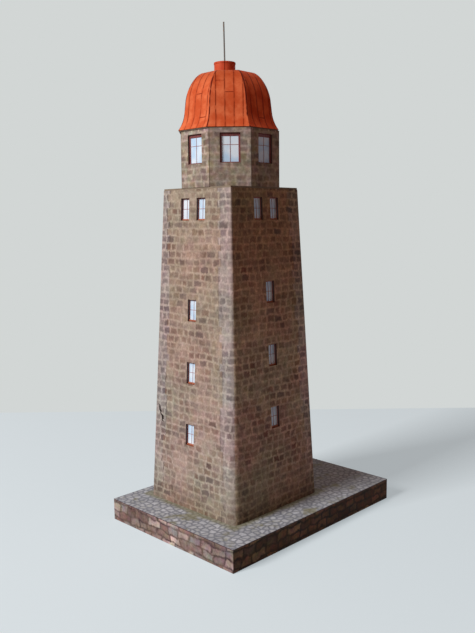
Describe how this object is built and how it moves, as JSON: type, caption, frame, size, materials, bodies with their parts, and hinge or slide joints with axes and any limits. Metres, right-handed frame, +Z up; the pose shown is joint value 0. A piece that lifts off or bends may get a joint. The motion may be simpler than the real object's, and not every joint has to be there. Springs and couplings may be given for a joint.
{
  "type": "card scale model of an observation tower",
  "caption": "Card scale model of a stone observation tower: battered square shaft, octagonal lantern, bell-shaped roof with cap and spire, on a paved stone terrace.",
  "frame": {"origin": "on the tower's axis at the underside of the terrace", "axes": "+Z up the tower; the front face looks along -Y and the right face along +X"},
  "size_m": [0.085, 0.1175, 0.2429],
  "materials": {
    "terrace_stone": "printed card, matt",
    "paving": "printed card, matt",
    "shaft_stone": "printed card, matt",
    "lantern_stone": "printed card, matt",
    "glazing": "printed card, slight sheen",
    "door_wood": "printed card, matt",
    "roof_sheet": "printed card, slight sheen",
    "wire": "dark wire, satin"
  },
  "bodies": {
    "root": {"terrace_base": "terrace_stone", "terrace_deck": "paving", "terrace_front_wall": "terrace_stone", "front_wall": "shaft_stone", "front_windows": "glazing", "terrace_right_wall": "terrace_stone", "right_wall": "shaft_stone", "right_windows": "glazing", "terrace_back_wall": "terrace_stone", "back_wall": "shaft_stone", "back_windows": "glazing", "terrace_left_wall": "terrace_stone", "left_wall": "shaft_stone", "left_windows": "glazing", "front_right_corner": "shaft_stone", "back_right_corner": "shaft_stone", "back_left_corner": "shaft_stone", "front_left_corner": "shaft_stone", "entrance_door": "door_wood", "shaft_deck": "lantern_stone", "lantern_wall_front": "lantern_stone", "dome_petal_front": "roof_sheet", "lantern_wall_front_right": "lantern_stone", "dome_petal_front_right": "roof_sheet", "lantern_wall_right": "lantern_stone", "dome_petal_right": "roof_sheet", "lantern_wall_back_right": "lantern_stone", "dome_petal_back_right": "roof_sheet", "lantern_wall_back": "lantern_stone", "dome_petal_back": "roof_sheet", "lantern_wall_back_left": "lantern_stone", "dome_petal_back_left": "roof_sheet", "lantern_wall_left": "lantern_stone", "dome_petal_left": "roof_sheet", "lantern_wall_front_left": "lantern_stone", "dome_petal_front_left": "roof_sheet", "lantern_windows": "glazing", "eave_plate": "lantern_stone", "cap_drum": "roof_sheet", "cap_disc": "roof_sheet", "spire": "wire"}
  },
  "joints": []
}
